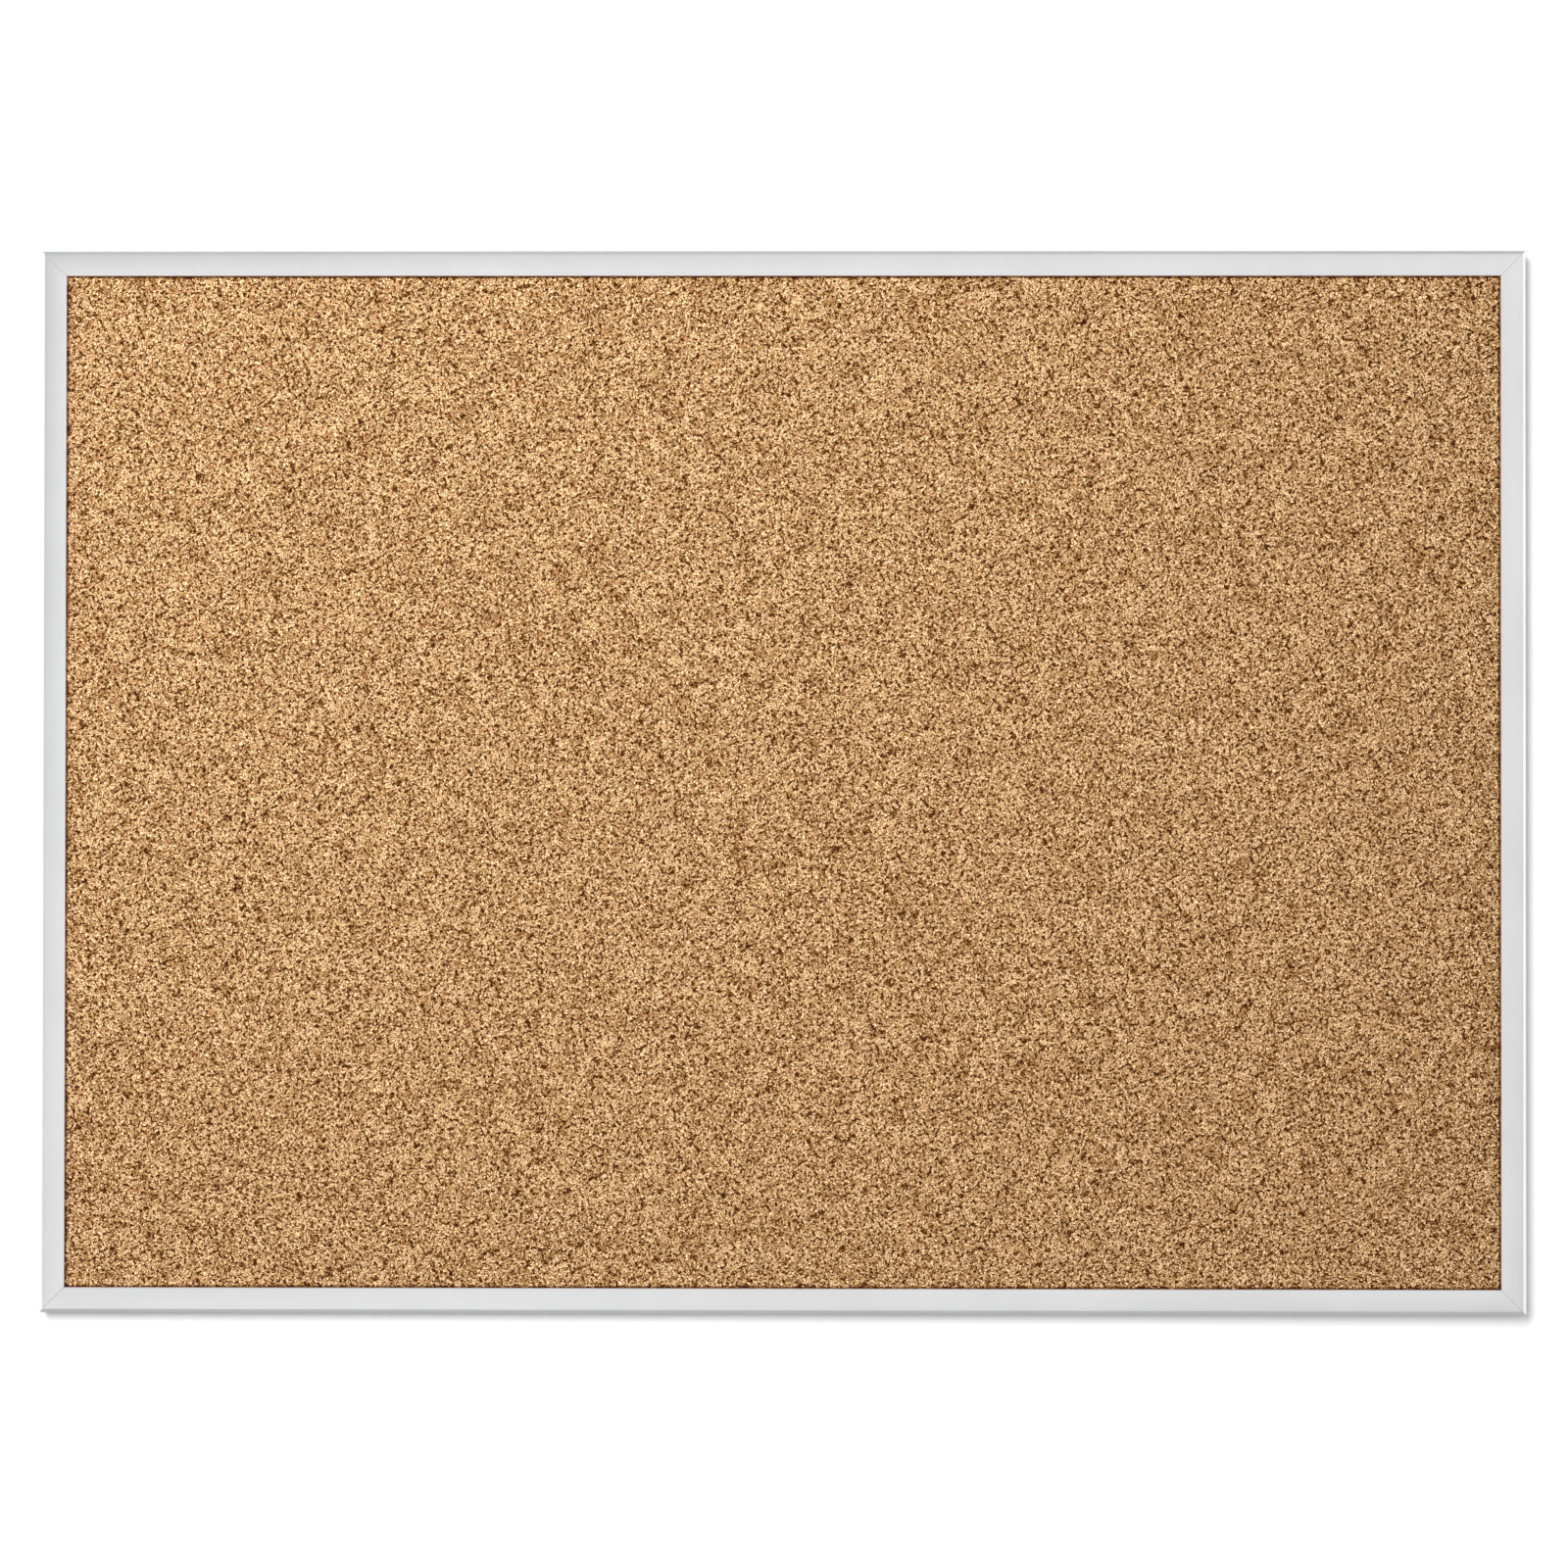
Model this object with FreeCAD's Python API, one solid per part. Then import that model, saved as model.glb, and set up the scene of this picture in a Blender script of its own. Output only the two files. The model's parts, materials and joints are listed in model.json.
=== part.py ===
import FreeCAD, Part
import math
import os

# A cork bulletin board in a mitred aluminium frame, on the four clips that hold it to a wall.
# Millimetres. +X is right and +Z up for someone facing the board, and the cork looks along -Y.
# The wall is the plane y = 0. The origin is the middle of the four wall-screw holes in the clips,
# which is also the middle of the board.

vec = FreeCAD.Vector
sideways = vec(1, 0, 0)
forward = vec(0, -1, 0)  # off the wall, towards the room
turnAxis = vec(0, 1, 0)

# Whole board
boardWidth = 914.0
boardHeight = 654.0
boardDepth = 19.0  # wall to the top of the crowned face

# Rail section: "in" is measured inward from the frame's outer side, "out" from the wall to the room
faceWidth = 15.6
flangeWidth = 12.0  # the back flange and the web end here, and the hook channel opens inward
sideWall = 1.4
flangeThick = 1.6
webBack = 6.1
webFront = 7.3
faceUnderside = 17.4
beadUnderside = 15.9  # the bead along the lip presses on the panel
beadStart = 14.6
lipTop = 18.8
chamferTop = 18.72
chamferIn = 2.2
chamferOut = 16.7
crownRadius = 85.0
crownApex = boardDepth + 0.129  # where the two slopes of the face would meet without the crown
edgeRadius = 0.4
softRadius = 0.6
cornerFill = 1.6  # solid corner inside, between the side wall and the face
guideIn = 6.5  # V-groove along the flange's back that centres the corner screws
guideDepth = 0.35
edgeBreak = 0.3
mitreGap = 0.05  # each rail stands this far from the 45 degree plane

# Panel: three layers glued together
panelInset = 3.0
backingThick = 0.6
corkBorderThick = 1.8  # the sheet is pressed this thin under the lip
corkThick = 2.0
corkClear = 0.2  # raised cork to the lip

# Corner keys, flat L plates in the hook channel
keyInset = 1.75
keyWidth = 10.0
keyLeg = 45.0
keyThick = 4.2
keyInnerRadius = 2.0
keyOuterRadius = 1.0
keyHoleRadius = 1.52

# Corner screws, M3 countersunk
screwFromCorner = 30.0
screwRadius = 1.5
screwSink = 0.1  # head below the wall face
screwHeadRadius = 2.73
screwEnd = 5.6
holeRadius = 1.6
sinkRadius = 2.85
recessSpan = 3.2
recessSlot = 0.55
recessDepth = 0.9

# Wall clips, bent from steel strip. Lengths run from the hook edge of the back flange.
clipThick = 1.5
clipWidth = 30.0
clipBend = 60.0  # degrees
clipBendRadius = 0.6
tongueClear = 0.15  # flange to tongue
seatRise = 0.16  # the bend's slope meets the tongue this far past the hook edge
hangerTongue = 5.0  # into the channel
lowerTongue = 10.0
lowerGap = 5.2  # the lower clips leave room to raise the board clear of the hangers
clipFoot = 28.0  # hook edge to the foot of the plate
wallHoleDown = 14.0  # hook edge to the wall-screw hole
wallHoleRadius = 2.5
clipSpacing = 610.0
plateRadius = 3.0
tongueRadius = 2.0

halfWidth = boardWidth / 2
halfHeight = boardHeight / 2
hookEdge = halfHeight - flangeWidth  # from the board's middle up to the top rail's hook edge
panelBack = webFront
corkBack = beadUnderside - corkBorderThick


def outline(corners, place):
    """A closed face from corners (a, b, radius). place turns (a, b) into a point in space."""
    points = [vec(a, b, 0) for a, b, radius in corners]
    rounds = []
    for i, (a, b, radius) in enumerate(corners):
        toPrevious = (points[i - 1] - points[i]).normalize()
        toNext = (points[(i + 1) % len(points)] - points[i]).normalize()
        half = toPrevious.getAngle(toNext) / 2
        reach = radius / math.tan(half)
        middle = (toPrevious + toNext).normalize() * (radius / math.sin(half) - radius)
        rounds.append([points[i] + step for step in (toPrevious * reach, middle, toNext * reach)])
    edges = []
    for i, (start, middle, end) in enumerate(rounds):
        if corners[i][2] > 0:
            arcPoints = [place(p.x, p.y) for p in (start, middle, end)]
            edges.append(Part.Arc(*arcPoints).toShape())
        following = rounds[(i + 1) % len(rounds)][0]
        edges.append(Part.LineSegment(place(end.x, end.y), place(following.x, following.y)).toShape())
    return Part.Face(Part.Wire(edges))


def turned(shape, degrees):
    """The shape turned about the board's own middle, in the plane of the wall."""
    result = shape.copy()
    result.rotate(vec(0, 0, 0), turnAxis, degrees)
    return result


def slab(width, height, back, front):
    """A flat layer centred on the board, between two distances from the wall."""
    return Part.makeBox(width, front - back, height, vec(-width / 2, -front, -height / 2))


def railSection(reach, start):
    """Section of the rail along the bottom, whose outer side is reach below the middle."""
    corners = [
        (0, 0, edgeRadius),
        (guideIn - guideDepth, 0, 0),
        (guideIn, guideDepth, 0),
        (guideIn + guideDepth, 0, 0),
        (flangeWidth - edgeBreak, 0, 0),
        (flangeWidth, edgeBreak, 0),
        (flangeWidth, flangeThick - edgeBreak, 0),
        (flangeWidth - edgeBreak, flangeThick, 0),
        (sideWall, flangeThick, edgeBreak),
        (sideWall, webBack, edgeBreak),
        (flangeWidth, webBack, edgeBreak),
        (flangeWidth, webFront, 0),
        (sideWall, webFront, 0),
        (sideWall, faceUnderside - cornerFill, 0),
        (sideWall + cornerFill, faceUnderside, 0),
        (beadStart - (faceUnderside - beadUnderside), faceUnderside, 0),
        (beadStart, beadUnderside, 0),
        (faceWidth, beadUnderside, edgeBreak),
        (faceWidth, lipTop, edgeRadius),
        ((chamferIn + faceWidth) / 2, crownApex, crownRadius),
        (chamferIn, chamferTop, softRadius),
        (0, chamferOut, softRadius),
    ]
    return outline(corners, lambda inward, out: vec(start, -out, inward - reach))


def screwHole(along, reach):
    """Tool that cuts one countersunk screw hole in the back flange of the bottom rail."""
    base = vec(along, 0, guideIn - reach)
    hole = Part.makeCylinder(holeRadius, flangeThick, base, forward)
    sink = Part.makeCone(sinkRadius, holeRadius, sinkRadius - holeRadius, base, forward)
    return hole.fuse(sink)


def makeRail(length, reach, degrees):
    """A mitred rail, drawn along the bottom of the frame and turned to its own side."""
    half = length / 2
    bar = railSection(reach, -half).extrude(sideways * length)
    back = half - mitreGap * math.sqrt(2)
    ends = [(-back, 0), (back, 0), (back - faceWidth, faceWidth), (faceWidth - back, faceWidth)]
    trapezoid = Part.makePolygon([vec(x, 0, z - reach) for x, z in ends + ends[:1]])
    rail = bar.common(Part.Face(trapezoid).extrude(forward * boardDepth))
    for along in (screwFromCorner - half, half - screwFromCorner):
        rail = rail.cut(screwHole(along, reach))
    return turned(rail, degrees)


def makeCorkSheet():
    """Cork with its border pressed down under the frame's lip."""
    width = boardWidth - 2 * panelInset
    height = boardHeight - 2 * panelInset
    border = slab(width, height, corkBack, beadUnderside)
    inset = 2 * (faceWidth + corkClear)
    field = slab(boardWidth - inset, boardHeight - inset, corkBack, corkBack + corkThick)
    return border.fuse(field).removeSplitter()


def atCorner(shape, degrees):
    """Moves a shape drawn with its corner at the origin to the frame's corner, legs inward."""
    signs = {0: (-1, -1), 90: (-1, 1), 180: (1, 1), 270: (1, -1)}[degrees]
    result = turned(shape, degrees)
    result.translate(vec(signs[0] * halfWidth, 0, signs[1] * halfHeight))
    return result


def makeCornerKey():
    """L plate in the channels of two rails, with one threaded hole in each leg."""
    near = keyInset
    inner = keyInset + keyWidth
    tip = keyInset + keyLeg
    corners = [
        (near, near, keyOuterRadius),
        (tip, near, keyOuterRadius),
        (tip, inner, keyOuterRadius),
        (inner, inner, keyInnerRadius),
        (inner, tip, keyOuterRadius),
        (near, tip, keyOuterRadius),
    ]
    plate = outline(corners, lambda x, z: vec(x, -flangeThick, z)).extrude(forward * keyThick)
    for x, z in ((screwFromCorner, guideIn), (guideIn, screwFromCorner)):
        base = vec(x, -flangeThick, z)
        plate = plate.cut(Part.makeCylinder(keyHoleRadius, keyThick, base, forward))
    return plate


def makeCornerScrew(x, z):
    """Countersunk screw with a cross recess, driven from the wall side."""
    headDepth = screwHeadRadius - screwRadius
    tip = edgeBreak
    head = Part.makeCone(screwHeadRadius, screwRadius, headDepth, vec(x, -screwSink, z), forward)
    shankStart = screwSink + headDepth
    shankLength = screwEnd - tip - shankStart
    shank = Part.makeCylinder(screwRadius, shankLength, vec(x, -shankStart, z), forward)
    point = Part.makeCone(screwRadius, screwRadius - tip, tip, vec(x, tip - screwEnd, z), forward)
    screw = head.fuse([shank, point]).removeSplitter()
    wing = Part.makePolygon([
        vec(x - recessSpan / 2, -screwSink, z),
        vec(x + recessSpan / 2, -screwSink, z),
        vec(x + recessSpan / 6, -screwSink - recessDepth, z),
        vec(x - recessSpan / 6, -screwSink - recessDepth, z),
        vec(x - recessSpan / 2, -screwSink, z),
    ])
    blade = Part.Face(wing).extrude(vec(0, 0, recessSlot))
    blade.translate(vec(0, 0, -recessSlot / 2))
    for angle in (45, 135):
        arm = blade.copy()
        arm.rotate(vec(x, 0, z), turnAxis, angle)
        screw = screw.cut(arm)
    return screw


def clipPlan(foot, tongue):
    """Rounded blank that trims the bent strip when seen from the room."""
    half = clipWidth / 2
    corners = [
        (-half, -foot, plateRadius),
        (half, -foot, plateRadius),
        (half, tongue, tongueRadius),
        (-half, tongue, tongueRadius),
    ]
    deep = 2 * clipThick + flangeThick + tongueClear
    return outline(corners, lambda x, up: vec(x, 0, up)).extrude(forward * deep)


def makeClip(tongue, foot, holeDown):
    """Z-clip drawn upright, with the hook edge of the flange at height 0 in its bend."""
    step = flangeThick + tongueClear
    bend = math.radians(clipBend)
    cornerShift = clipThick * math.tan(bend / 2)
    low = seatRise - step / math.tan(bend)
    outside = clipBendRadius + clipThick
    corners = [
        (0, -foot, 0),
        (clipThick, -foot, 0),
        (clipThick, low - cornerShift, clipBendRadius),
        (step + clipThick, seatRise - cornerShift, outside),
        (step + clipThick, tongue, 0),
        (step, tongue, 0),
        (step, seatRise, clipBendRadius),
        (0, low, outside),
    ]
    start = -clipWidth / 2
    strip = outline(corners, lambda out, up: vec(start, -out, up)).extrude(sideways * clipWidth)
    clip = strip.common(clipPlan(foot, tongue))
    hole = Part.makeCylinder(wallHoleRadius, clipThick, vec(0, 0, -holeDown), forward)
    return clip.cut(hole)


def save(node, shape):
    """One closed solid, one file."""
    assert shape.isValid() and len(shape.Solids) == 1, node
    shape.Solids[0].exportStep(f"parts/{node}.step")
    print(f"{node}: {shape.Volume:.0f} mm3")


os.makedirs("parts", exist_ok=True)

# Frame
save("bottom_rail", makeRail(boardWidth, halfHeight, 0))
save("left_rail", makeRail(boardHeight, halfWidth, 90))
save("top_rail", makeRail(boardWidth, halfHeight, 180))
save("right_rail", makeRail(boardHeight, halfWidth, 270))

# Corner keys and their screws
cornerTurns = {"bottom_left": 0, "top_left": 90, "top_right": 180, "bottom_right": 270}
screwPlaces = {1: (screwFromCorner, guideIn), 2: (guideIn, screwFromCorner)}
for corner, degrees in cornerTurns.items():
    save(f"corner_key_{corner}", atCorner(makeCornerKey(), degrees))
    for number, (x, z) in screwPlaces.items():
        save(f"corner_screw_{corner}_{number}", atCorner(makeCornerScrew(x, z), degrees))

# Panel
panelWidth = boardWidth - 2 * panelInset
panelHeight = boardHeight - 2 * panelInset
coreBack = panelBack + backingThick
save("backing_sheet", slab(panelWidth, panelHeight, panelBack, coreBack))
save("fibreboard_core", slab(panelWidth, panelHeight, coreBack, corkBack))
save("cork_sheet", makeCorkSheet())

# Wall clips: two hangers above, and two long-tongued clips below that are hooked in first
hanger = makeClip(hangerTongue, clipFoot, wallHoleDown)
hanger.translate(vec(0, 0, hookEdge))
lowerClip = makeClip(lowerTongue, clipFoot - lowerGap, wallHoleDown - lowerGap)
lowerClip.translate(vec(0, 0, hookEdge - lowerGap))
lowerClip = turned(lowerClip, 180)
for side, sign in (("left", -1), ("right", 1)):
    for node, clip in ((f"hanger_{side}", hanger), (f"lower_clip_{side}", lowerClip)):
        placed = clip.copy()
        placed.translate(sideways * (sign * clipSpacing / 2))
        save(node, placed)
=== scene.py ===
import bpy
import json
import math
import numpy as np
from mathutils import Euler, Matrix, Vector


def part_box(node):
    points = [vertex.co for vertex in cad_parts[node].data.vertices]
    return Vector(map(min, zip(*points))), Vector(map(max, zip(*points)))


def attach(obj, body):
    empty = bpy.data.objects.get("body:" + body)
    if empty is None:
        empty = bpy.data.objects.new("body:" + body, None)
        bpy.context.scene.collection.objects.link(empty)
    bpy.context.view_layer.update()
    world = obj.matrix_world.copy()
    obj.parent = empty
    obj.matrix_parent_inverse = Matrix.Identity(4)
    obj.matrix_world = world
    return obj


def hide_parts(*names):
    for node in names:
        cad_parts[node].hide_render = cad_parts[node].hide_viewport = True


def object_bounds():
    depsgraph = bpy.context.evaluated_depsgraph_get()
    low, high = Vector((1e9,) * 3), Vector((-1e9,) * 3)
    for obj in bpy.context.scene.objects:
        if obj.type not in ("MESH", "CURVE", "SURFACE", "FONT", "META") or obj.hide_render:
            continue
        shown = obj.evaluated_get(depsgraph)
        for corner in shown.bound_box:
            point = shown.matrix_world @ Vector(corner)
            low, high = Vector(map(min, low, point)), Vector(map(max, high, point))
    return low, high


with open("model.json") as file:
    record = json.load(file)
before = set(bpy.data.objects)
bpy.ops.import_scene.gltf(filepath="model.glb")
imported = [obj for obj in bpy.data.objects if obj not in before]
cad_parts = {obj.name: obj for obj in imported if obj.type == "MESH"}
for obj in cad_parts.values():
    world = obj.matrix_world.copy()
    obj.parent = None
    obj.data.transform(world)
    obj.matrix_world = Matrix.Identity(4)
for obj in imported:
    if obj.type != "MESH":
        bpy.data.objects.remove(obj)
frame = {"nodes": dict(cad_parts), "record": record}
cadLow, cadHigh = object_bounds()
nodes = frame["nodes"]
mm = 0.001
print("frame loaded,", len(nodes), "CAD nodes")


class Sock:
    # an output socket; arithmetic on it adds Math nodes to its tree
    def __init__(self, paint, socket):
        self.paint = paint
        self.socket = socket

    def math(self, operation, *others):
        return self.paint.node("ShaderNodeMath", {"operation": operation}, [self, *others])

    def __add__(self, other):
        return self.math("ADD", other)

    def __mul__(self, other):
        return self.math("MULTIPLY", other)

    def __sub__(self, other):
        return self.math("SUBTRACT", other)

    def __rsub__(self, other):
        return self.paint.node("ShaderNodeMath", {"operation": "SUBTRACT"}, [other, self])

    def __pow__(self, other):
        return self.math("POWER", other)

    __radd__ = __add__
    __rmul__ = __mul__

    def ramp(self, low, high, start=0.0, end=1.0):
        # eased step: start at low, end at high, flat outside
        settings = {"interpolation_type": "SMOOTHSTEP"}
        return self.paint.node("ShaderNodeMapRange", settings, [self, low, high, start, end])


def shaded(colour, share):
    return tuple(share * part for part in colour)


class Paint:
    # one material (or world) and its node tree
    def __init__(self, name, home=None):
        self.home = home or bpy.data.materials.new(name)
        self.home.use_nodes = True
        self.tree = self.home.node_tree
        self.shader = self.tree.nodes.get("Principled BSDF")

    def node(self, kind, settings=None, inputs=(), output=0):
        made = self.tree.nodes.new(kind)
        settings = dict(settings or {})
        stops = settings.pop("stops", None)
        for name, value in settings.items():
            setattr(made, name, value)
        if stops:
            elements = made.color_ramp.elements
            while len(elements) < len(stops):
                elements.new(0.5)
            for element, (place, colour) in zip(elements, stops):
                element.position = place
                element.color = (*colour, 1)
        pairs = inputs.items() if isinstance(inputs, dict) else enumerate(inputs)
        for key, value in pairs:
            self.feed(made.inputs[key], value)
        return Sock(self, made.outputs[output])

    def feed(self, socket, value):
        if isinstance(value, Sock):
            self.tree.links.new(value.socket, socket)
        else:
            socket.default_value = value

    def place(self, stretch=(1, 1, 1), turn=(0, 0, 0)):
        # object coordinates in metres, turned and then squeezed or stretched along the axes
        coords = self.node("ShaderNodeTexCoord", output="Object")
        turned = self.node("ShaderNodeMapping", inputs={"Vector": coords, "Rotation": turn})
        return self.node("ShaderNodeMapping", inputs={"Vector": turned, "Scale": stretch})

    def noise(self, where, scale, detail=2.0, rough=0.5, output=0, flat=False):
        settings = {"noise_dimensions": "2D" if flat else "3D"}
        inputs = {"Vector": where, "Scale": scale, "Detail": detail, "Roughness": rough}
        return self.node("ShaderNodeTexNoise", settings, inputs, output)

    def cells(self, where, scale, feature="F1", output=0, flat=False):
        settings = {"feature": feature, "voronoi_dimensions": "2D" if flat else "3D"}
        inputs = {"Vector": where, "Scale": scale, "Randomness": 1.0}
        return self.node("ShaderNodeTexVoronoi", settings, inputs, output)

    def part(self, colour, channel):
        return self.node("ShaderNodeSeparateColor", inputs=[colour], output=channel)

    def mix(self, factor, first, second):
        # colours are linear triples or sockets
        ends = [c if isinstance(c, Sock) else (*c, 1) for c in (first, second)]
        return self.node("ShaderNodeMix", {"data_type": "RGBA"}, {0: factor, 6: ends[0], 7: ends[1]}, 2)

    def shift(self, where, push, amount):
        # moves a position by a centred colour times amount
        centred = self.node("ShaderNodeVectorMath", {"operation": "SUBTRACT"}, [push, (0.5, 0.5, 0.5)])
        inputs = {"Vector": centred, "Scale": amount}
        scaled = self.node("ShaderNodeVectorMath", {"operation": "SCALE"}, inputs)
        return self.node("ShaderNodeVectorMath", {"operation": "ADD"}, [where, scaled])

    def bump(self, height, strength, distance):
        inputs = {"Height": height, "Strength": strength, "Distance": distance}
        return self.node("ShaderNodeBump", inputs=inputs)

    def finish(self, **sockets):
        for name, value in sockets.items():
            self.feed(self.shader.inputs[name.replace("_", " ")], value)
        return self.home


railLook = {
    "colour": (0.88, 0.88, 0.885),
    "metal": 0.85,  # the oxide layer scatters the rest
    "roughness": 0.38,
    "lineSpacing": 0.35 * mm,
    "lineBump": 0.10,
    "lineDepth": 0.02 * mm,
    "lineRough": 0.10,  # how much the lines change the roughness
    "stretch": 0.012,  # die lines run nearly the whole rail
    "haze": 14.0,  # clouds to the metre
    "hazeShade": 0.965,
    "hazeRough": 0.05,
}


def satinAluminium(name, along):
    # clear-anodised extrusion: fine die lines run along the rail, over a faint haze
    paint = Paint(name)
    squeeze = tuple(railLook["stretch"] if axis == along else 1.0 for axis in "xyz")
    lines = paint.noise(paint.place(squeeze), 1 / railLook["lineSpacing"], 3.0, 0.6)
    haze = paint.noise(paint.place(), railLook["haze"], 3.0, 0.6)
    duller = shaded(railLook["colour"], railLook["hazeShade"])
    tone = paint.mix(haze.ramp(0.3, 0.7), railLook["colour"], duller)
    rough = railLook["roughness"] + (lines - 0.5) * railLook["lineRough"]
    rough = rough + (haze - 0.5) * railLook["hazeRough"]
    relief = paint.bump(lines, railLook["lineBump"], railLook["lineDepth"])
    return paint.finish(Base_Color=tone, Metallic=railLook["metal"], Roughness=rough, Normal=relief)


keyLook = {
    "colour": (0.78, 0.785, 0.79),
    "roughness": 0.42,
    "rolling": 2600,  # lines to the metre
    "rollingRough": 0.25,
    "rollingDepth": 0.03 * mm,
    "stretch": (0.05, 1, 1),
    "stain": 90,
    "stainShade": 0.8,
}


def millAluminium():
    # bare rolled plate: short rolling lines and faint stains
    paint = Paint("mill aluminium key")
    rolled = paint.noise(paint.place(keyLook["stretch"]), keyLook["rolling"], 3.0, 0.6)
    stain = paint.noise(paint.place(), keyLook["stain"], 4.0, 0.6)
    stained = shaded(keyLook["colour"], keyLook["stainShade"])
    tone = paint.mix(stain.ramp(0.35, 0.75), keyLook["colour"], stained)
    rough = keyLook["roughness"] + (rolled - 0.5) * keyLook["rollingRough"]
    return paint.finish(Base_Color=tone, Metallic=1.0, Roughness=rough,
                        Normal=paint.bump(rolled, 0.25, keyLook["rollingDepth"]))


zincLook = {
    "pale": (0.76, 0.78, 0.80),
    "dull": (0.60, 0.63, 0.67),
    "clipCrystal": 1.6 * mm,
    "screwCrystal": 0.8 * mm,
    "patch": 160,  # dull patches to the metre
    "crystalShade": 0.35,  # how far the crystals go toward the dull colour, and the patches
    "patchShade": 0.65,
    "roughness": 0.34,
    "crystalRough": 0.08,
    "patchRough": 0.12,
    "grit": 2400,
    "gritDepth": 0.03 * mm,
}


def zincPlate(name, crystal):
    # zinc plate: faint crystals of slightly different shade, small dull patches
    paint = Paint(name)
    where = paint.place()
    grains = paint.part(paint.cells(where, 1 / crystal, output="Color"), 0)
    dull = paint.noise(where, zincLook["patch"], 4.0, 0.65)
    shade = grains * zincLook["crystalShade"] + dull.ramp(0.35, 0.8) * zincLook["patchShade"]
    tone = paint.mix(shade, zincLook["pale"], zincLook["dull"])
    rough = zincLook["roughness"] + grains * zincLook["crystalRough"] + dull * zincLook["patchRough"]
    fine = paint.noise(where, zincLook["grit"], 2.0)
    return paint.finish(Base_Color=tone, Metallic=1.0, Roughness=rough,
                        Normal=paint.bump(fine, 0.12, zincLook["gritDepth"]))


corkLook = {
    "crumb": 1.5 * mm,
    "turn": 27.0,  # degrees, so no row of granules follows the frame
    "shades": [  # darkest to palest
        (0.00, (0.040, 0.011, 0.003)),
        (0.25, (0.205, 0.080, 0.020)),
        (0.50, (0.342, 0.174, 0.062)),
        (0.75, (0.515, 0.309, 0.141)),
        (1.00, (0.750, 0.520, 0.290)),
    ],
    "lean": 0.6,  # below 1, more granules are pale than dark
    "ragged": 2.0,  # how far granule outlines wander, in crumbs
    "seam": (0.02, 0.2),  # where the seam ends and where the granule has its full tone
    # how often each pattern repeats, to the crumb
    "wander": 0.5,
    "fine": 2.0,
    "broad": 0.09,
    "pit": 0.85,
    "clump": 0.36,
    "pitStep": (0.57, 0.67),
    "clumpStep": (0.61, 0.71),
    # how far each moves the tone, from 0 at the darkest shade to 1 at the palest
    "granule": 0.78,
    "body": 0.29,
    "floor": 0.10,
    "grain": 0.30,
    "patches": 0.42,
    "pits": 1.05,
    "clumps": 0.52,
    "roughness": 0.75,
    "relief": 0.25 * mm,
    "lipShadeWidth": 2.0 * mm,  # how far from the lip the painted shade reaches
    # how much the painted shade along the lip darkens the tone
    "lipShadeTone": 0.65,
}


def paintedLipShade(paint):
    # painted shade under the lip: 1 against the lip, 0 from the shade's width inward
    coords = paint.node("ShaderNodeTexCoord", output="Object")
    across, up = (paint.node("ShaderNodeSeparateXYZ", inputs=[coords], output=axis) for axis in "XZ")
    level = (cadHigh.x - rail["face"]) - across.math("ABSOLUTE")
    upright = (cadHigh.z - rail["face"]) - up.math("ABSOLUTE")
    return level.math("MINIMUM", upright).ramp(0.0, corkLook["lipShadeWidth"], 1.0, 0.0)


def pressedCork():
    # crumbs of one shade each, darkening to the seams between them, with small dark pits and clumps of bark,
    # and painted shade along the lip
    paint = Paint("pressed cork")
    look = corkLook
    crumb = look["crumb"]
    where = paint.place(turn=(math.radians(90), 0, math.radians(look["turn"])))
    push = paint.noise(where, look["wander"] / crumb, 1.0, output="Color", flat=True)
    outline = paint.shift(where, push, look["ragged"] * crumb)
    shade = paint.part(paint.cells(outline, 1 / crumb, output="Color", flat=True), 0) ** look["lean"]
    dome = paint.cells(outline, 1 / crumb, "DISTANCE_TO_EDGE", flat=True).ramp(*look["seam"])
    grain = paint.noise(where, look["fine"] / crumb, 2.0, 0.6, flat=True)
    patches = paint.noise(where, look["broad"] / crumb, 3.0, 0.6, flat=True)
    pits = paint.noise(where, look["pit"] / crumb, 1.0, 0.5, flat=True).ramp(*look["pitStep"])
    clumps = paint.noise(where, look["clump"] / crumb, 1.0, 0.5, flat=True).ramp(*look["clumpStep"])
    tone = dome * (shade * look["granule"] + look["body"])
    tone = tone + (grain - 0.5) * look["grain"] + (patches - 0.5) * look["patches"]
    tone = tone - pits * look["pits"] - clumps * look["clumps"] + look["floor"]
    # painted shade where the lip overhangs the cork
    tone = tone - paintedLipShade(paint) * look["lipShadeTone"]
    body = paint.node("ShaderNodeValToRGB", {"stops": look["shades"]}, [tone])
    height = dome * 0.7 + shade * 0.5 + grain * 0.5 - pits * 0.4
    return paint.finish(Base_Color=body, Roughness=look["roughness"], Specular_IOR_Level=0.05,
                        Normal=paint.bump(height, 0.5, look["relief"]))


linerLook = {
    "colour": (0.46, 0.31, 0.185),
    "cloudShade": 0.82,
    "fibreShade": 1.25,
    "fleck": (0.24, 0.145, 0.08),
    "fibre": 0.5 * mm,
    "fleckSize": 1.0 * mm,
    "cloud": 16,  # to the metre
    "roughness": 0.82,
    "relief": 0.12 * mm,
}


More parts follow.
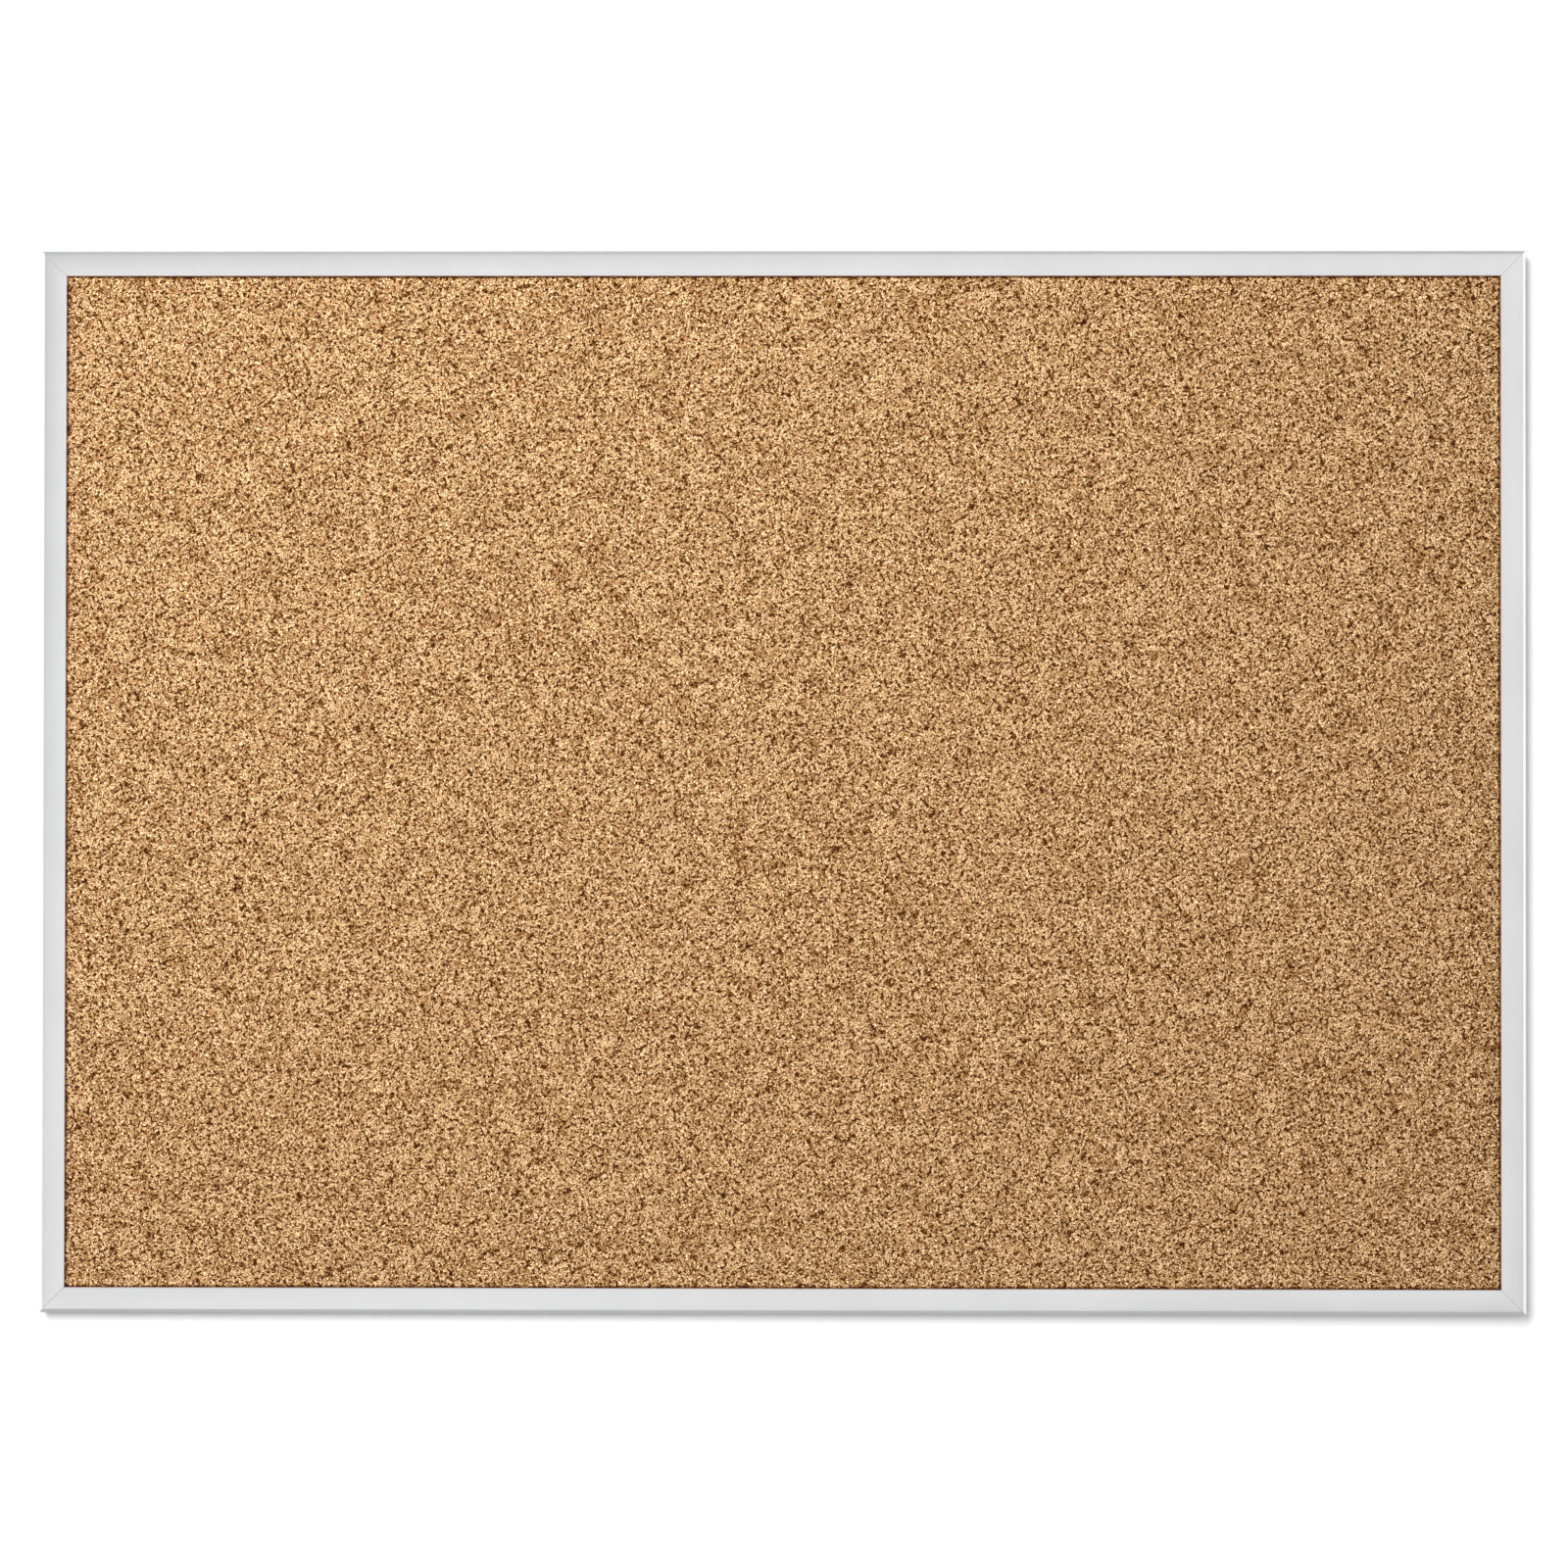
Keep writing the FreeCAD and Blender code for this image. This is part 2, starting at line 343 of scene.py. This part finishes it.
def kraftLiner():
    # brown kraft paper: fibres across it, darker flecks and a faint cloudiness
    paint = Paint("kraft liner")
    fibres = paint.noise(paint.place((0.25, 1, 1)), 1 / linerLook["fibre"], 4.0, 0.7)
    cloud = paint.noise(paint.place(), linerLook["cloud"], 5.0, 0.6)
    flecks = paint.noise(paint.place((0.35, 1, 1)), 1 / linerLook["fleckSize"], 1.0).ramp(0.68, 0.78)
    clouded = shaded(linerLook["colour"], linerLook["cloudShade"])
    tone = paint.mix(cloud.ramp(0.3, 0.7) * 0.35, linerLook["colour"], clouded)
    lit = shaded(linerLook["colour"], linerLook["fibreShade"])
    tone = paint.mix(fibres.ramp(0.35, 0.75) * 0.3, tone, lit)
    tone = paint.mix(flecks * 0.45, tone, linerLook["fleck"])
    return paint.finish(Base_Color=tone, Roughness=linerLook["roughness"] + (fibres - 0.5) * 0.15,
                        Normal=paint.bump(fibres + cloud * 2, 0.25, linerLook["relief"]))


coreLook = {"dark": (0.36, 0.25, 0.15), "pale": (0.56, 0.43, 0.28), "fibre": 1800, "relief": 0.2 * mm}


def softFibreboard():
    # felted wood fibre, only seen at the panel's edge inside the rails
    paint = Paint("soft fibreboard")
    fibres = paint.noise(paint.place((0.3, 1, 0.3)), coreLook["fibre"], 5.0, 0.7)
    tone = paint.mix(fibres.ramp(0.3, 0.7), coreLook["dark"], coreLook["pale"])
    return paint.finish(Base_Color=tone, Roughness=0.92, Normal=paint.bump(fibres, 0.5, coreLook["relief"]))


def addPiece(name, verts, faces, material, replaced, sharp=30):
    # a smooth mesh with creases sharper than a number of degrees, standing in for one CAD node
    mesh = bpy.data.meshes.new(name)
    mesh.from_pydata(verts, [], faces)
    mesh.polygons.foreach_set("use_smooth", np.ones(len(mesh.polygons), bool))
    mesh.set_sharp_from_angle(angle=math.radians(sharp))
    mesh.materials.append(material)
    piece = bpy.data.objects.new(name, mesh)
    bpy.context.scene.collection.objects.link(piece)
    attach(piece, "board")
    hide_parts(*replaced)
    return piece


def gridFaces(rows, columns, wrap=False):
    # quads of a rows x columns grid of points numbered row by row
    index = np.arange(rows * columns).reshape(rows, columns)
    nextColumn = np.roll(index, -1, axis=1) if wrap else index[:, 1:]
    first = index if wrap else index[:, :-1]
    return np.stack([first[:-1], nextColumn[:-1], nextColumn[1:], first[1:]], -1).reshape(-1, 4)


rail = {  # widths run inward from the outer side, heights out from the wall
    "face": 15.6 * mm,
    "flange": 12.0 * mm,
    "side": 1.4 * mm,
    "flangeThick": 1.6 * mm,
    "webBack": 6.1 * mm,
    "webFront": 7.3 * mm,
    "under": 17.4 * mm,
    "bead": 15.9 * mm,  # the bead that presses on the panel
    "beadStart": 14.6 * mm,
    "lip": 18.8 * mm,
    "chamferIn": 2.2 * mm,
    "chamferTop": 18.72 * mm,
    "chamferOut": 16.7 * mm,
    "crownRadius": 85.0 * mm,
    "crownApex": 19.128 * mm,
    "round": 0.4 * mm,
    "soft": 0.6 * mm,
    "fill": 1.6 * mm,
    "guide": 6.5 * mm,  # V-groove that centres the screws
    "guideDepth": 0.35 * mm,
    "break": 0.3 * mm,
    "gap": 0.035 * mm,  # from each end to the mitre's plane
    "sawEdge": 0.09 * mm,  # edge broken after sawing
    "screwFromCorner": 30.0 * mm,
    "hole": 1.6 * mm,
    "sink": 2.85 * mm,
    "holeSides": 48,
}


def roundedProfile(corners):
    # Each corner (a, b, radius) becomes an arc tangent to its two sides. The arc's centre lies along the
    # bisector at the radius over the sine of half the corner, with a point for every 7 degrees.
    places = np.array([(a, b) for a, b, radius in corners])
    pieces = []
    for here, before, after, (a, b, radius) in zip(
            places, np.roll(places, 1, 0), np.roll(places, -1, 0), corners):
        back = (before - here) / np.linalg.norm(before - here)
        ahead = (after - here) / np.linalg.norm(after - here)
        half = math.acos(np.clip(back @ ahead, -1, 1)) / 2
        if radius == 0:
            pieces.append(here[None])
            continue
        sweep = math.pi - 2 * half
        middle = (back + ahead) / np.linalg.norm(back + ahead)
        centre = here + middle * radius / math.sin(half)
        count = max(5, int(sweep / math.radians(7)), int(radius * sweep / (1.0 * mm)))
        turn = np.linspace(-sweep / 2, sweep / 2, count)[:, None]
        side = np.array([-middle[1], middle[0]])
        side *= np.sign(side @ ahead)
        pieces.append(centre + radius * (-middle * np.cos(turn) + side * np.sin(turn)))
    return np.concatenate(pieces)


def railProfile():
    # the extrusion's section: inward from the outer side, and outward from the wall
    r = rail
    return roundedProfile([
        (0, 0, r["round"]),
        (r["guide"] - r["guideDepth"], 0, 0),
        (r["guide"], r["guideDepth"], 0),
        (r["guide"] + r["guideDepth"], 0, 0),
        (r["flange"] - r["break"], 0, 0),
        (r["flange"], r["break"], 0),
        (r["flange"], r["flangeThick"] - r["break"], 0),
        (r["flange"] - r["break"], r["flangeThick"], 0),
        (r["side"], r["flangeThick"], r["break"]),
        (r["side"], r["webBack"], r["break"]),
        (r["flange"], r["webBack"], r["break"]),
        (r["flange"], r["webFront"], 0),
        (r["side"], r["webFront"], 0),
        (r["side"], r["under"] - r["fill"], 0),
        (r["side"] + r["fill"], r["under"], 0),
        (r["beadStart"] - r["under"] + r["bead"], r["under"], 0),
        (r["beadStart"], r["bead"], 0),
        (r["face"], r["bead"], r["break"]),
        (r["face"], r["lip"], r["round"]),
        ((r["chamferIn"] + r["face"]) / 2, r["crownApex"], r["crownRadius"]),
        (r["chamferIn"], r["chamferTop"], r["soft"]),
        (0, r["chamferOut"], r["soft"]),
    ])


def shrunk(outline, amount):
    # a counter-clockwise outline moved inward along the mean normal of each point's two sides
    ahead = np.roll(outline, -1, 0) - outline
    ahead /= np.linalg.norm(ahead, axis=1)[:, None]
    along = ahead + np.roll(ahead, 1, 0)
    along /= np.linalg.norm(along, axis=1)[:, None]
    return outline + amount * np.stack([-along[:, 1], along[:, 0]], 1)


def screwCutter(along, reach):
    # a turned outline of (radius, depth) pairs: countersink, then the hole through the flange
    spare = 0.3 * mm
    steps = ((rail["sink"] + spare, -spare), (rail["hole"], rail["sink"] - rail["hole"]),
             (rail["hole"], rail["flangeThick"] + spare))
    count = rail["holeSides"]
    angle = np.linspace(0, 2 * math.pi, count, endpoint=False)
    middle = rail["guide"] - reach
    rings = [np.stack([along + r * np.cos(angle), 0 * angle - d, middle + r * np.sin(angle)], 1)
             for r, d in steps]
    faces = gridFaces(3, count, wrap=True).tolist()
    faces += [list(range(count))[::-1], list(range(2 * count, 3 * count))]
    return np.concatenate(rings), faces


def addRail(node, length, reach, turn, material):
    # the section carried along the bottom rail with 45 degree ends, then turned to its own side
    outline = railProfile()
    small = shrunk(outline, rail["sawEdge"])
    rings = []
    for sign, ring, edge in ((-1, small, 0), (-1, outline, 1), (1, outline, 1), (1, small, 0)):
        end = length / 2 - rail["gap"] * math.sqrt(2) - outline[:, 0] - edge * rail["sawEdge"]
        rings.append(np.stack([sign * end, -ring[:, 1], ring[:, 0] - reach], 1))
    count = len(outline)
    faces = gridFaces(4, count, wrap=True).tolist()
    faces += [list(range(count))[::-1], list(range(3 * count, 4 * count))]
    verts = turned(np.concatenate(rings), turn)
    piece = addPiece(node + "_bar", verts, faces, material, [node])
    for along in (rail["screwFromCorner"] - length / 2, length / 2 - rail["screwFromCorner"]):
        cutVerts, cutFaces = screwCutter(along, reach)
        carve(piece, turned(cutVerts, turn), cutFaces)


def turned(verts, turn):
    # quarter turns about the board's middle, in the plane of the wall
    c, q = round(math.cos(turn)), round(math.sin(turn))
    return np.stack([c * verts[:, 0] + q * verts[:, 2], verts[:, 1], c * verts[:, 2] - q * verts[:, 0]], 1)


def carve(piece, verts, faces):
    # takes a closed shape out of the piece's mesh for good
    mesh = bpy.data.meshes.new("cutter")
    mesh.from_pydata(verts, [], faces)
    cutter = bpy.data.objects.new("cutter", mesh)
    bpy.context.scene.collection.objects.link(cutter)
    cut = piece.modifiers.new("cut", "BOOLEAN")
    cut.object = cutter
    cut.solver = "EXACT"
    shape = bpy.data.meshes.new_from_object(piece.evaluated_get(bpy.context.evaluated_depsgraph_get()))
    piece.modifiers.remove(cut)
    bpy.data.objects.remove(cutter)
    old = piece.data
    name = old.name
    piece.data = shape
    bpy.data.meshes.remove(old)
    shape.name = name


width = cadHigh.x - cadLow.x
height = cadHigh.z - cadLow.z
levelFinish = satinAluminium("satin aluminium, level", "x")
uprightFinish = satinAluminium("satin aluminium, upright", "z")
for node, length, reach, turn, material in (
        ("bottom_rail", width, height / 2, 0, levelFinish),
        ("left_rail", height, width / 2, 90, uprightFinish),
        ("top_rail", width, height / 2, 180, levelFinish),
        ("right_rail", height, width / 2, 270, uprightFinish)):
    addRail(node, length, reach, math.radians(turn), material)
print("rails made")


sheet = {
    "step": 1.95 * mm,  # of the grid
    "relief": 0.14 * mm,
    "jitter": 0.33,  # of a step
    "press": 0.2 * mm,  # how far the border is pressed down under the lip
    "clear": 0.2 * mm,  # raised cork to the lip
    "seed": 11,
}


def addCork(material):
    # A height over a grid: raised field inside the lip, pressed border under it, each point pushed
    # off the grid by up to a third of a step and up or down by the relief. Drawn as two halves.
    low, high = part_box("cork_sheet")
    columns = 2 * round((high.x - low.x) / sheet["step"] / 2) + 1
    rows = round((high.z - low.z) / sheet["step"]) + 1
    x, z = np.meshgrid(np.linspace(low.x, high.x, columns), np.linspace(low.z, high.z, rows))
    push = np.random.default_rng(sheet["seed"]).uniform(-1, 1, (3, rows, columns))
    edge = rail["face"] + sheet["clear"]
    inside = np.minimum(width / 2 - edge - np.abs(x), height / 2 - edge - np.abs(z))
    field = inside > sheet["step"] * 0.5
    free = (inside > sheet["step"]) & (np.abs(x) > sheet["step"] / 2)
    x = x + free * push[0] * sheet["jitter"] * sheet["step"]
    z = z + free * push[1] * sheet["jitter"] * sheet["step"]
    front = np.where(field, low.y + sheet["relief"] * (push[2] * 0.5 + 0.5), low.y + sheet["press"])
    points = np.stack([x, front, z], -1)
    middle = columns // 2
    for side, part in (("left", points[:, :middle + 1]), ("right", points[:, middle:])):
        makeHalf(side, part, high.y, material)


def makeHalf(side, part, back, material):
    # one half of the sheet, closed by four edges and a flat back
    rows, columns = part.shape[:2]
    index = np.arange(rows * columns).reshape(rows, columns)
    rim = np.concatenate([index[0, :-1], index[:-1, -1], index[-1, :0:-1], index[:0:-1, 0]])
    verts = part.reshape(-1, 3)
    behind = verts[rim].copy()
    behind[:, 1] = back
    count = len(rim)
    far = rows * columns + np.arange(count)
    walls = np.stack([rim, far, np.roll(far, -1), np.roll(rim, -1)], 1)
    faces = gridFaces(rows, columns).tolist() + walls.tolist() + [far[::-1].tolist()]
    verts = np.concatenate([verts, behind])
    piece = addPiece("cork_" + side, verts, faces, material, ["cork_sheet"], sharp=60)
    mapSheet(piece, count)


bakeMap = {  # shares of the map, from 0 to 1
    "front": ((0.02, 0.05), (0.96, 0.93)),  # corner and size of the front
    "strip": 0.01,  # width of an edge's strip
    "farStrip": 0.985,  # where the strips at the right and the top start
    "nearStrip": (0.015, 0.045),  # where those at the left and the bottom start, running outward
    "back": (0.005, 0.02),  # foot and height of the back
}


def mapSheet(piece, count):
    # The front fills the map. Its four edges lie in strips along the map's sides, the back in a thin
    # strip below: u and v run from 0 to 1 over the sheet, then pulled in or pushed out for each.
    mesh = piece.data
    co = np.empty(len(mesh.vertices) * 3)
    mesh.vertices.foreach_get("co", co)
    co = co.reshape(-1, 3)
    corner = np.empty(len(mesh.loops), int)
    mesh.loops.foreach_get("vertex_index", corner)
    low, high = co.min(0), co.max(0)
    share = (co[corner] - low) / (high - low)
    u, v, deep = share[:, 0], share[:, 2], share[:, 1]
    sizes = np.empty(len(mesh.polygons), int)
    mesh.polygons.foreach_get("loop_total", sizes)
    normal = np.empty(len(mesh.polygons) * 3)
    mesh.polygons.foreach_get("normal", normal)
    normal = np.repeat(normal.reshape(-1, 3), sizes, axis=0)
    order = np.repeat(np.arange(len(sizes)), sizes)
    isWall = (order >= len(sizes) - 1 - count) & (order < len(sizes) - 1)
    isBack = order == len(sizes) - 1
    (startU, startV), (wide, tall) = bakeMap["front"]
    leftStrip, bottomStrip = bakeMap["nearStrip"]
    foot, thin = bakeMap["back"]
    mapU = startU + wide * u
    mapV = startV + tall * v
    upright = isWall & (np.abs(normal[:, 0]) > 0.5)
    level = isWall & ~upright
    outward = bakeMap["farStrip"] + bakeMap["strip"] * deep
    mapU = np.where(upright, np.where(normal[:, 0] > 0, outward, leftStrip - bakeMap["strip"] * deep), mapU)
    mapV = np.where(level, np.where(normal[:, 2] > 0, outward, bottomStrip - bakeMap["strip"] * deep), mapV)
    mapV = np.where(isBack, foot + thin * v, mapV)
    layer = mesh.uv_layers.new(name="OFBake")
    layer.uv.foreach_set("vector", np.stack([mapU, mapV], 1).ravel())


cork = pressedCork()
addCork(cork)
print("cork made")

finishes = {
    "frame_aluminium": levelFinish,
    "key_aluminium": millAluminium(),
    "zinc_screw": zincPlate("bright zinc screw", zincLook["screwCrystal"]),
    "zinc_clip": zincPlate("satin zinc clip", zincLook["clipCrystal"]),
    "kraft_liner": kraftLiner(),
    "fibreboard": softFibreboard(),
    "cork": cork,
}
for entry in frame["record"]["subparts"]:
    for materialSlot in nodes[entry["node"]].material_slots:
        materialSlot.material = finishes[entry["material_slot"]]
print("finishes on the CAD nodes")


room = {
    "wallBack": 0.4 * mm,  # behind the frame's back
    "span": 30.0,
    "floorDrop": 1.35,
    "wall": (0.93, 0.93, 0.93),
    "floor": (0.82, 0.82, 0.81),
}


def oneSided(name, colour):
    # matt paint seen from its front only; from behind it lets everything through
    paint = Paint(name)
    speck = paint.noise(paint.place(), 4.0, 3.0)
    paint.finish(Base_Color=paint.mix(speck * 0.02, colour, (0.5, 0.5, 0.5)), Roughness=0.9)
    clear = paint.node("ShaderNodeBsdfTransparent")
    behind = paint.node("ShaderNodeNewGeometry", output="Backfacing")
    shown = Sock(paint, paint.shader.outputs[0])
    both = paint.node("ShaderNodeMixShader", inputs=[behind, shown, clear])
    paint.tree.links.new(both.socket, paint.tree.nodes["Material Output"].inputs["Surface"])
    return paint.home


def addPlane(name, corners, material):
    # a backdrop: it neither shades the board nor throws light on it
    mesh = bpy.data.meshes.new(name)
    mesh.from_pydata(corners, [], [(0, 1, 2, 3)])
    mesh.materials.append(material)
    plane = bpy.data.objects.new(name, mesh)
    bpy.context.scene.collection.objects.link(plane)
    plane.visible_shadow = plane.visible_diffuse = plane.visible_glossy = False


reach = room["span"] / 2
back = cadHigh.y + room["wallBack"]
ground = cadLow.z - room["floorDrop"]
wallCorners = [(x, back, z) for x, z in ((-reach, ground), (reach, ground), (reach, reach), (-reach, reach))]
addPlane("wall", wallCorners, oneSided("wall paint", room["wall"]))
square = ((-reach, -reach), (reach, -reach), (reach, reach), (-reach, reach))
floorCorners = [(x, y, ground) for x, y in square]
addPlane("floor", floorCorners, oneSided("floor paint", room["floor"]))
print("room made")

light = {
    "round": 0.08,  # the sky's glow all round
    "front": 0.74,  # what the panel in front adds
    "sides": 1.12,  # those at the left and the right
    "ends": 0.41,  # those overhead and below
    "behind": 0.70,  # and the one behind the board
    "tilt": 0.30,  # the front panel is lighter to the lower right
    "saddle": 4.0,  # and to two opposite corners
    "backdrop": 0.80,  # what the camera sees in place of the panels
    "key": {"at": (-0.45, -2.0, 0.62), "size": (0.90, 1.24), "watts": 65.0, "aim": (-0.70, 0, 0.52)},
    "back": {"at": (0.9, 2.2, 1.1), "size": (1.2, 1.2), "watts": 34.0, "aim": (0, 0, 0)},
}


def addLamp(name, settings):
    # a softbox that lights, but isn't mirrored in the metal
    lamp = bpy.data.lights.new(name, "AREA")
    lamp.shape = "RECTANGLE"
    lamp.size, lamp.size_y = settings["size"]
    lamp.energy = settings["watts"]
    thing = bpy.data.objects.new(name, lamp)
    thing.location = settings["at"]
    toward = Vector(settings["aim"]) - Vector(settings["at"])
    thing.rotation_euler = toward.to_track_quat("-Z", "Y").to_euler()
    thing.visible_camera = False
    thing.visible_glossy = False
    bpy.context.scene.collection.objects.link(thing)


addLamp("key light", light["key"])
addLamp("back light", light["back"])


def makeSky():
    # a dim room with broad pale panels in front, at each side, overhead and below, and behind the board;
    # the front one is uneven
    world = bpy.data.worlds.new("studio")
    bpy.context.scene.world = world
    paint = Paint("studio", world)
    where = paint.node("ShaderNodeTexCoord", output="Generated")
    across, deep, up = (paint.node("ShaderNodeSeparateXYZ", inputs=[where], output=axis) for axis in "XYZ")
    uneven = (across - up) * light["tilt"] + across * up * light["saddle"] + light["front"]
    glow = (deep * -1).ramp(0.70, 0.93) * uneven + light["round"]
    glow = glow + deep.ramp(0.6, 0.9) * light["behind"]
    glow = glow + across.math("ABSOLUTE").ramp(0.65, 0.93) * light["sides"]
    glow = glow + up.math("ABSOLUTE").ramp(0.65, 0.93) * light["ends"]
    seen = paint.node("ShaderNodeLightPath", output="Is Camera Ray")
    glow = glow + (light["backdrop"] - glow) * seen  # what the camera itself sees of it is plain
    paint.feed(paint.tree.nodes["Background"].inputs["Strength"], glow)
    paint.tree.nodes["Background"].inputs["Color"].default_value = (1, 1, 1, 1)


makeSky()
print("lights made")

view = {
    "lens": 85.0,
    "at": (0.0203, -2.2946, -0.0217),
    "tilt": (90.51, -0.059, 0.48),  # degrees: nearly square to the wall
}
camera = bpy.data.objects.new("camera", bpy.data.cameras.new("camera"))
camera.data.lens = view["lens"]
camera.data.sensor_width = 36.0
camera.location = view["at"]
camera.rotation_euler = Euler([math.radians(angle) for angle in view["tilt"]])
bpy.context.scene.collection.objects.link(camera)
bpy.context.scene.camera = camera
bpy.context.scene.view_settings.view_transform = "Standard"
